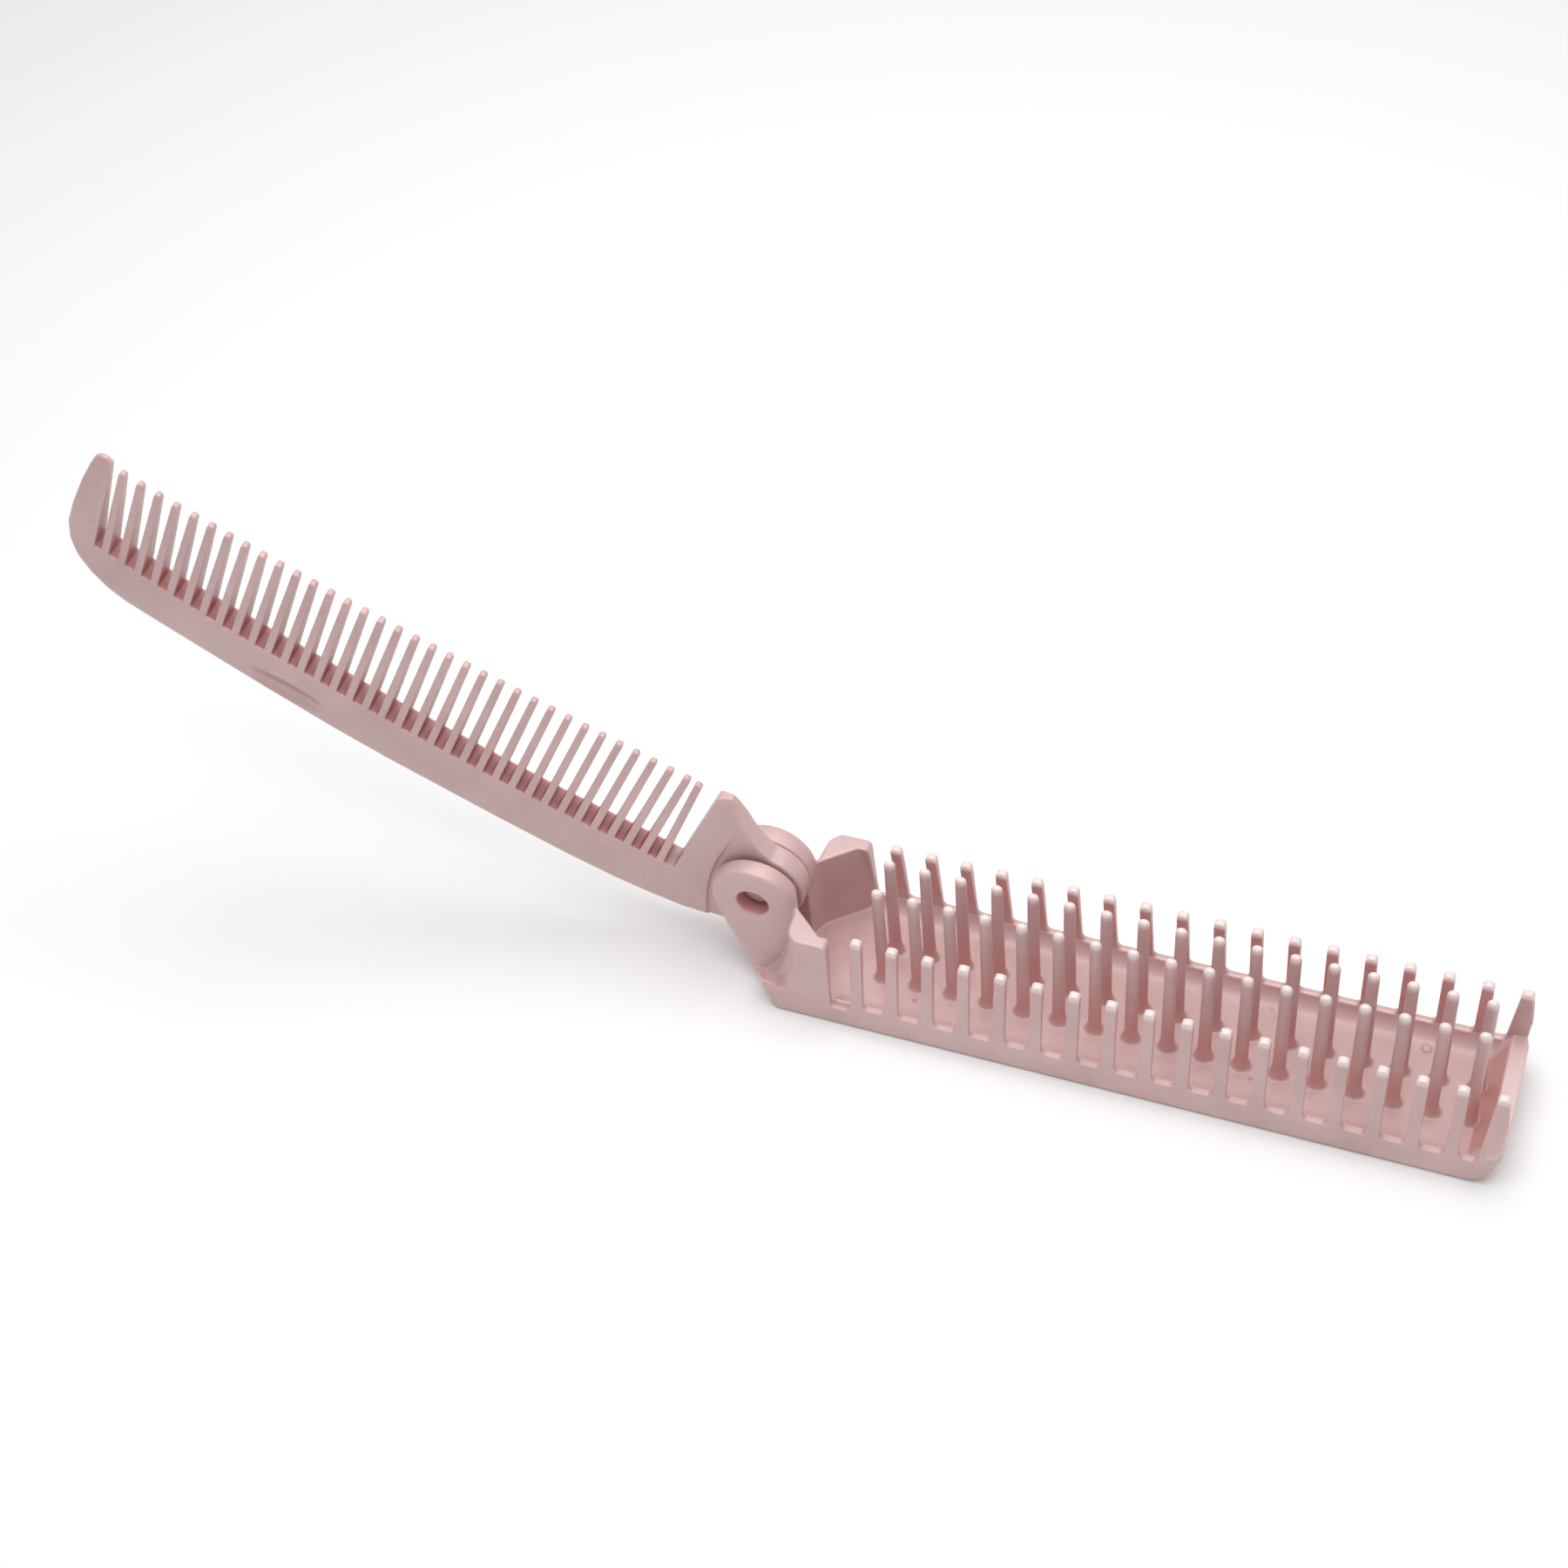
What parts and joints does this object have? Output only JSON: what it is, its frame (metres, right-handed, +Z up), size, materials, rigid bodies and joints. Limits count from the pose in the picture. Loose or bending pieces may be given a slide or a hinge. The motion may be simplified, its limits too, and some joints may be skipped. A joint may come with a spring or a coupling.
{
  "type": "folding comb",
  "caption": "Folding hair comb: a fine-toothed comb arm swings on a cross axle and closes over a brush arm with a shallow tray, rim teeth and upright pins.",
  "frame": {"origin": "on the flat underside of the brush arm, on its middle line, below the first pair of rim teeth after the hinge", "axes": "+X along the brush arm from the hinge to its free end, +Y across it along the hinge axis, +Z up from the underside"},
  "size_m": [0.1993, 0.0216, 0.0711],
  "materials": {
    "brush_plastic": "satin dusty pink, moulded",
    "comb_plastic": "satin dusty pink, moulded"
  },
  "bodies": {
    "brush": {"brush_arm": "brush_plastic"},
    "comb": {"comb_arm": "comb_plastic"}
  },
  "joints": [
    {"name": "fold_hinge", "type": "hinge", "parent": "brush", "child": "comb", "pos_m": [-0.0163, 0, 0.0143], "axis": [0, 1, 0], "range_deg": [-23, 150]}
  ]
}
